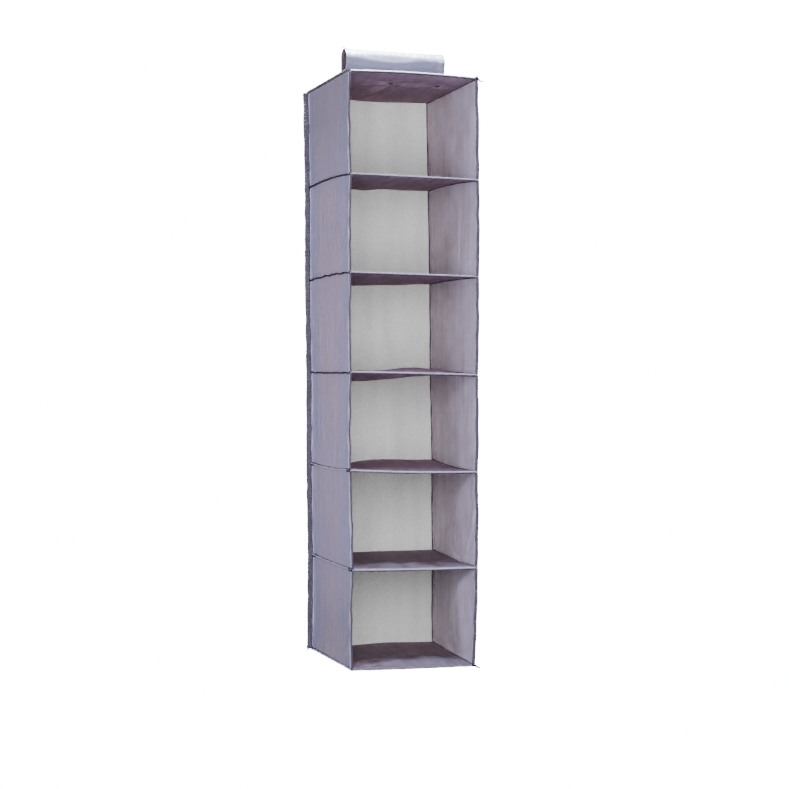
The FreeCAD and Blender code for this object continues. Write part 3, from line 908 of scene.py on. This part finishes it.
# Front hem: distance in front of the shelf's edge, and height over its middle
FRONT_HEM = ((-10, 1.9), (-9.4, 2.4), (-7.6, 2.5), (-6.9, 2.2), (-6, 2.5), (-3, 2.6), (-1, 2.5),
             (0.3, 2.1), (1.0, 1.4), (1.2, 0.5), (1.0, -0.4), (-0.5, -0.6), (-10, -1.9),
             (-0.2, -1.7), (-0.2, 1.7))
# Lower half of the hem, in a darker copy of the hem's cloth that paints its shade, and the dark piping under
# it
HEM_UNDER = ((1.15, 0.3), (1.3, -0.5), (1.1, -1.3), (0.2, -1.9), (-1.2, -2.1), (-10, -2.0), (-1, -0.6))
PIPING = ((1.2, -1.2), (1.4, -1.8), (1.0, -2.5), (0.2, -2.8), (-0.9, -2.7), (-1.5, -2.3),
          (-1.4, -1.8), (-0.2, -1.4))
# Side seam: distance out from the wall, and height over the shelf's middle
SIDE_FOLD = ((-0.4, 3.0), (0.8, 2.9), (1.7, 2.5), (2.2, 1.9), (2.3, 1.3), (1.7, 0.9), (0.6, 0.8), (-0.4, 0.8))
TOP_BINDING = ((-0.4, 6.2), (1.8, 6.4), (3.6, 6.0), (4.4, 5.0), (4.4, 0.0), (3.6, -1.0), (1.2, -1.3),
               (-0.4, -1.3))
SEAM_LINE = ((-0.4, 4.6), (1.0, 4.5), (1.7, 3.9), (1.7, 3.1), (1.0, 2.5), (-0.4, 2.4))
SIDE_PIPING = ((-0.2, 1.1), (1.6, 1.2), (2.8, 0.9), (3.3, 0.1), (3.3, -1.1), (2.7, -2.1), (1.2, -2.6),
               (-0.2, -2.5))


# How loosely each shelf's side seams are sewn
LOOSE_SEAM = (0.3, 1, 2, 1.2, 1, 1, 0.8)


def corner(number, side, y):
    """A point on a shelf's side seam."""
    x = side * (HALF_W + float(seam_out(number, side, y)))
    return np.array([x, y, float(shelf_height(number, float(side), y))])


def trims_of(number):
    """What runs along a shelf's side seams: sections with their material and how far they are
    stretched outwards and upwards, the stitches' place, and the lumps at the front and rear ends
    with their depth, distance outwards, rise, size and material."""
    if number == 0:
        sections = ((TOP_BINDING, 5, 1, 1), (SIDE_PIPING, 0, 0.6, 0.9))
    elif number < 4:
        sections = ((SIDE_FOLD, 0, 1, 1), (SIDE_PIPING, 4, 1, 1))
    else:
        # From the fourth shelf down, the side fold takes the paler material: painted highlight.
        sections = ((SIDE_FOLD, 6, 1.3, 0.8), (SEAM_LINE, 4, 1, 1))
    stitches = (3.0, 1.9) if number > 3 else (1.9, 2.7)
    knots = ((9, 1.6, 0.3, (1.6, 3.2, 2.0), 0), (3, 1.6, 0.3, (1.8, 2.0, 2.6), 1))
    ends = ((6, 2.0, -0.5, (2.2, 3.0, 3.0), 4),)
    if number == 0:
        ends = ((2, 6.5, 0.4, (5.5, 5, 3.4), 5), (0, 8.5, -2.0, (5.5, 4, 2.2), 4))
    elif 3 < number < TIERS:
        knots = ((14, 1.6, 0.3, (1.4, 12, 3.4), 1), (3, 1.6, 0.3, (1.8, 2.4, 3.6), 1))
        ends = ((14, 1.4, -1.6, (1.6, 11, 1.5), 4),)
    return sections, stitches, knots, ends


def add_front_hem(mesher, number):
    u = np.linspace(-1, 1, 140)
    x = across_shelf(number, u, np.full(len(u), FRONT), 3.0 * MM)
    z = shelf_height(number, u, FRONT)
    wave = ripple(1200 + number, 5, 0.02, 0.09)(x)
    nip = ripple(1250 + number, 4, 0.012, 0.03)(x)
    sections = ((FRONT_HEM, 0, 0.12), (HEM_UNDER, 3, 0.06), (PIPING, 1, 0.06))
    # The bottom hem is all in the darker copy: painted shade.
    if number == TIERS:
        sections = ((FRONT_HEM, 3, 0.5), (HEM_UNDER, 3, 0.3))
    for section, material, swing in sections:
        mesher.tube([[(x[i], FRONT - a * MM - 0.35 * nip[i] * MM,
                       z[i] + (b * (1 + swing * wave[i]) + 0.3 * nip[i]) * MM)
                      for a, b in section] for i in range(len(x))], material)
    line = np.stack([x, np.full_like(x, FRONT + 6.9 * MM), z + 2.35 * MM], axis=1)
    add_stitches(mesher, line, (0, 0, 1), FINE_STITCH, 2)


def add_side_seam(mesher, number, side):
    y = np.linspace(FRONT + 4 * MM, BACK - 3 * MM, 140)
    z = shelf_height(number, float(side), y)
    out = HALF_W + seam_out(number, side, y)
    wave = LOOSE_SEAM[number] * ripple(1300 + 2 * number + side, 6, 0.02, 0.08)(y)
    pucker = LOOSE_SEAM[number] * ripple(1350 + 2 * number + side, 5, 0.014, 0.04)(y)
    sections, stitches, knots, ends = trims_of(number)
    for section, material, outwards, upwards in sections:
        mesher.tube([[(side * (out[i] + a * outwards * (1 + 0.12 * wave[i] + 0.15 * pucker[i]) * MM),
                       y[i], z[i] + (b * upwards + 0.8 * wave[i] + 0.6 * pucker[i]) * MM)
                      for a, b in section] for i in range(len(y))], material)
    if number > 0:
        line = np.stack([side * (out + stitches[0] * MM), y,
                         z + (stitches[1] + 0.8 * wave + 0.6 * pucker) * MM], axis=1)
        add_stitches(mesher, line, (side * 0.7, 0, 0.7), SEAM_STITCH, 2)
    inner = side * (out - WALL_THICK - 0.7 * MM)
    for height in (SHELF_THICK / 2 + 0.7 * MM, -SHELF_THICK / 2 - 0.7 * MM):
        mesher.tube([[(inner[i] + 0.8 * a * MM, y[i], z[i] + height + 0.8 * b * MM)
                      for a, b in CORNER_CORD] for i in range(len(y))], 4)
    for start, inwards, lumps in ((FRONT, 1, knots), (BACK, -1, ends)):
        for depth, outwards, rise, size, material in lumps:
            place = corner(number, side, start + inwards * depth * MM)
            add_lump(mesher, place + np.array((side * outwards, 0, rise)) * MM, size, material)


def make_trims(number):
    mesher = Mesher()
    add_front_hem(mesher, number)
    for side in (-1, 1):
        add_side_seam(mesher, number, side)
    piece = mesher.build(SHELVES[number] + "_hem_and_seams",
                         [hem_cloth, tape_level, thread, hem_painted_shade, tape_side, strap_lining, painted_highlight_band])
    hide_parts(SHELVES[number] + "_trims")
    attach(piece, SHELF_BODY[number])


for shelf_number in range(TIERS + 1):
    make_sleeve(shelf_number)
    make_board(shelf_number)
    make_trims(shelf_number)


# Strap

ROD_RADIUS = 16 * MM
STRAP_THICK = 1.5 * MM
STRAP_LEFT = -112 * MM      # sewn a little off the middle
STRAP_RIGHT = 120.5 * MM
STRAP_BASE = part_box("strap_loop")[0].z
FLAP_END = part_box("strap_flap")[0].z
FOOT_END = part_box("strap_loop")[1].y


def strap_profile():
    """Points down the strap's middle: foot, rear ply, arch over the rod, and front flap."""
    radius, turn = ROD_RADIUS + STRAP_THICK / 2, 2 * MM
    foot_z = STRAP_BASE + STRAP_THICK / 2 + 1.0 * MM
    foot = [(FOOT_END - s * (FOOT_END - radius - turn), foot_z) for s in np.linspace(0, 1, 6)]
    bend = [(radius + turn * (1 - math.sin(a)), foot_z + turn * (1 - math.cos(a)))
            for a in np.linspace(0.3, math.pi / 2, 4)]
    rear = [(radius, z) for z in np.linspace(foot_z + 3 * MM, -3 * MM, 16)]
    arch = [(radius * math.cos(a), radius * math.sin(a)) for a in np.linspace(0, math.pi, 25)]
    flap = [(-radius, z) for z in np.linspace(-3 * MM, FLAP_END, 20)]
    return np.array(foot + bend + rear + arch + flap)


# Soft hollows and bumps of the strap's front: (place across, height, breadth, tallness, rise)
STRAP_DENTS = ((-0.080, -0.022, 0.018, 0.012, -1.2), (0.112, -0.012, 0.006, 0.012, 1.8),
               (0.060, 0.006, 0.020, 0.008, 0.8), (0.000, -0.030, 0.060, 0.012, 1.0))


def strap_grid(profile, run):
    """The strap's middle surface and its outward normals."""
    x, y, z = np.broadcast_arrays(
        np.linspace(STRAP_LEFT, STRAP_RIGHT, 91)[:, None], profile[None, :, 0], profile[None, :, 1])
    grid = np.stack([x, y, z], axis=2)
    normals = grid_normals(grid)
    outward = normals * np.sign((normals * (grid - (0, 0, -0.02))).sum(axis=2, keepdims=True))
    swell = 0.3 + 0.4 * ripple_2d(1500, 6, 0.05, 0.16)(x, run[None, :])
    for px, pz, breadth, tallness, rise in STRAP_DENTS:
        swell = swell + rise * np.exp(-((x - px) / breadth) ** 2 - ((z - pz) / tallness) ** 2) * (y < 0)
    free = np.clip((z - STRAP_BASE - 6 * MM) / (15 * MM), 0, 1)
    grid = grid + outward * (swell * free * MM)[:, :, None]
    # The left end droops a little, and the front leans out below the arch
    grid[:, :, 2] -= 0.6 * MM * np.linspace(1, 0, len(x))[:, None] * free * (z > 0)
    crest = (-5 - 8 * bell(x + 0.010, 0.050) + 2 * ripple(1510, 3, 0.06, 0.15)(x)) * MM
    away = z - crest
    grid[:, :, 1] -= 3.6 * MM * bell(away, np.where(away > 0, 11 * MM, 6 * MM)) * (y < 0)
    return grid, outward


def make_strap():
    profile = strap_profile()
    run = np.concatenate([[0], np.cumsum(np.linalg.norm(np.diff(profile, axis=0), axis=1))])
    grid, outward = strap_grid(profile, run)
    mesher = Mesher()
    offset = outward * STRAP_THICK / 2
    mesher.shell(grid + offset, grid - offset, (0, 1, 0))
    # Doubled side hems, each sewn along its inner edge
    for hem, row in ((slice(5), 3), (slice(-5, None), -4)):
        middle = grid[hem] + outward[hem] * 1.3 * MM
        mesher.shell(middle + offset[hem] * 0.5, middle - offset[hem] * 0.7)
        add_stitches(mesher, grid[row] + outward[row] * 1.75 * MM, outward[row], HEM_STITCH, 2)
    piece = mesher.build("strap_cloth_loop", [strap_cloth, strap_lining, thread])
    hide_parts("strap_loop", "strap_flap")
    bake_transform(piece)


make_strap()


def strap_ply(name, node, body, inset, outline, material, seam=None):
    """A flat ply that keeps one outline (y, z) right across the strap. A seam is a row of
    stitches along a line at y, z, on a face that looks up."""
    x = np.linspace(STRAP_LEFT + inset, STRAP_RIGHT - inset, 41)
    sway = 0.25 * MM * ripple(len(name), 4, 0.03, 0.1)(x)
    mesher = Mesher()
    mesher.tube([[(across, y + shift, z) for y, z in outline] for across, shift in zip(x, sway)])
    if seam:
        line = np.stack([x[1:-1], seam[0] + sway[1:-1], np.full(len(x) - 2, seam[1])], axis=1)
        add_stitches(mesher, line, (0, 0, 1), PLY_STITCH, 1)
    piece = mesher.build(name, [material, thread])
    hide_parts(node)
    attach(piece, body)
    return piece


def tape_outline(node):
    """The y, z outline of a tape's box, with its corners taken off."""
    low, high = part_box(node)
    r = 0.25 * MM
    return ((low.y + r, low.z), (high.y - r, low.z), (high.y, low.z + r), (high.y, high.z - r),
            (high.y - r, high.z), (low.y + r, high.z), (low.y, high.z - r), (low.y, low.z + r))


def make_stub():
    """The upright ply behind the flap, turned forwards at its foot."""
    low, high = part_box("strap_stub")
    ply, r = 1.2 * MM, 0.3 * MM
    face, foot = high.y - ply, low.z + ply
    outline = ((low.y, low.z + 0.2 * MM), (low.y + r, low.z), (high.y - 2 * r, low.z),
               (high.y, low.z + 2 * r), (high.y, high.z - r), (high.y - r, high.z),
               (face + r, high.z), (face, high.z - r), (face, foot + 0.8 * MM),
               (face - 0.8 * MM, foot), (low.y + r, foot), (low.y, foot - 0.2 * MM))
    piece = strap_ply("strap_stub_cloth", "strap_stub", "top", 1 * MM, outline,
                      strap_cloth, (low.y + 4 * MM, foot))


make_stub()
strap_ply("hook_tape_pile", "strap_hook_tape", "flap", 5 * MM,
          tape_outline("strap_hook_tape"), hook_pile)
strap_ply("loop_tape_pile", "strap_loop_tape", "top", 5 * MM,
          tape_outline("strap_loop_tape"), loop_pile)


# Loose thread ends at the corners

def make_thread_tail(name, body, points, radius):
    """A frayed thread end through a few points, thinner towards its end."""
    line = np.array(points, float)
    at = np.linspace(0, 1, len(line))
    fine = np.linspace(0, 1, 5 * len(line))
    smooth = np.stack([np.interp(fine, at, line[:, i]) for i in range(3)], axis=1)
    for _ in range(4):
        smooth[1:-1] = (smooth[:-2] + 2 * smooth[1:-1] + smooth[2:]) / 4
    along = np.gradient(smooth, axis=0)
    side = np.cross(along, (0.3, 0.5, 0.8))
    side /= np.linalg.norm(side, axis=1, keepdims=True)
    up = np.cross(along, side)
    up /= np.linalg.norm(up, axis=1, keepdims=True)
    size = radius * (1.1 - 0.5 * np.linspace(0, 1, len(smooth)))
    mesher = Mesher()
    mesher.tube([[smooth[i] + size[i] * (side[i] * math.cos(a) + up[i] * math.sin(a))
                  for a in np.linspace(0, math.tau, 6, endpoint=False)] for i in range(len(smooth))])
    piece = mesher.build(name, [dark_thread])
    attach(piece, body)


# Name, body, place, offsets from it and radius in millimetres
TAILS = (
    ("thread_front_right", "top", corner(0, 1, FRONT),
     ((-4, -2, 0.5), (0, -3, 0.5), (3, -3, -3), (5, -4, -6.0), (9, -5, -6.5), (13, -5, -6)), 2.2),
    ("thread_back_left", "top", corner(0, -1, BACK),
     ((-9, -2, 0), (-12, -3, 1), (-14, -4, 3), (-15, -4, 5)), 1.1),
    ("thread_strap", "top", np.array([STRAP_LEFT, -4 * MM, ROD_RADIUS + 2.5 * MM]),
     ((4, 0, -0.5), (0, -1, 0.8), (-4, -2, 1.2), (-7, -3, 3)), 1.1),
    ("thread_bottom_left", "bottom", corner(6, -1, BACK),
     ((-8, -2, 1), (-11, -3, -1), (-13, -4, -4), (-14, -4, -6)), 1.3),
    ("thread_bottom_right", "bottom", corner(6, 1, FRONT),
     ((-4, -3, 2.0), (2, -4, 0), (7, -5, -3), (13, -5, -5.5)), 2.8))
for name, body, base, offsets, radius in TAILS:
    make_thread_tail(name, body, [base + np.array(o) * MM for o in offsets], radius * MM)


# Camera, light and floor

# The photo's view: angles in degrees, lens in millimetres, and distances in tier pitches
AZIMUTH, ELEVATION = -19.93, 1.33
LENS, SENSOR = 74.78, 36
DISTANCE, ASIDE, BELOW = 17.35, 0.035, 0.234


def put_in_view(piece, place, forward):
    """Links a camera or a light, set at a place and looking forward."""
    piece.location = place
    piece.rotation_mode = "QUATERNION"
    piece.rotation_quaternion = forward.to_track_quat("-Z", "Y")
    bpy.context.scene.collection.objects.link(piece)


def make_camera():
    azimuth, elevation = math.radians(AZIMUTH), math.radians(ELEVATION)
    forward = Vector((-math.sin(azimuth) * math.cos(elevation),
                      math.cos(azimuth) * math.cos(elevation), -math.sin(elevation)))
    right = Vector((math.cos(azimuth), math.sin(azimuth), 0))
    up = right.cross(forward)
    target = Vector((0, 0, (SEAM[0] + SEAM[-1] + SHELF_THICK) / 2))
    distance = DISTANCE * PITCH
    camera = bpy.data.objects.new("camera", bpy.data.cameras.new("camera"))
    camera.data.lens = LENS
    camera.data.sensor_width = SENSOR
    put_in_view(camera, target - forward * distance + right * ASIDE * PITCH - up * BELOW * PITCH,
                forward)
    bpy.context.scene.camera = camera


BACKDROP_GLOW = 18


def make_floor():
    n = Nodes("floor")
    n.set(n.shader, {"Base Color": grey(0.9), "Roughness": 0.9, "Specular IOR Level": 0.0,
                     "Emission Color": grey(1.0), "Emission Strength": BACKDROP_GLOW})
    bpy.ops.mesh.primitive_circle_add(vertices=96, radius=30, fill_type="NGON",
                                      location=(0, 0, cad_low.z - 0.3))
    floor = bpy.context.object
    floor.name = "floor"
    floor.data.materials.append(n.material)
    floor.visible_diffuse = False
    floor.visible_glossy = False
    floor.visible_transmission = False


def soft_light(name, azimuth, height, distance, target_height, size, power):
    """A round soft box. Azimuth is in degrees round from the front, positive to the right."""
    angle = math.radians(azimuth)
    place = Vector((math.sin(angle) * distance, -math.cos(angle) * distance, height))
    data = bpy.data.lights.new(name, "AREA")
    data.shape = "DISK"
    data.size = size
    data.energy = power
    light = bpy.data.objects.new(name, data)
    light.visible_camera = False
    put_in_view(light, place, Vector((0, 0, target_height)) - place)


def make_lights():
    world = bpy.data.worlds.new("studio")
    bpy.context.scene.world = world
    world.use_nodes = True
    tree = world.node_tree
    glow = tree.nodes["Background"]
    glow.inputs[0].default_value = grey(1)
    path = tree.nodes.new("ShaderNodeLightPath")
    strength = tree.nodes.new("ShaderNodeMapRange")
    strength.inputs["To Min"].default_value = 0.34
    strength.inputs["To Max"].default_value = BACKDROP_GLOW
    tree.links.new(path.outputs["Is Camera Ray"], strength.inputs["Value"])
    tree.links.new(strength.outputs[0], glow.inputs[1])
    soft_light("overhead", 0, 1.25, 0.02, SEAM[0], 0.35, 420)
    soft_light("front", -15, -0.50, 2.3, SEAM[3], 1.6, 100)
    soft_light("high_front", -10, 1.1, 0.75, SEAM[5], 0.4, 14)
    soft_light("right", 75, -0.2, 1.9, SEAM[3], 1.2, 22)
    soft_light("rear", 165, 0.1, 2.3, SEAM[3], 1.5, 46)
    soft_light("left", -80, SEAM[3], 1.2, SEAM[3], 0.8, 5)


make_camera()
make_floor()
make_lights()
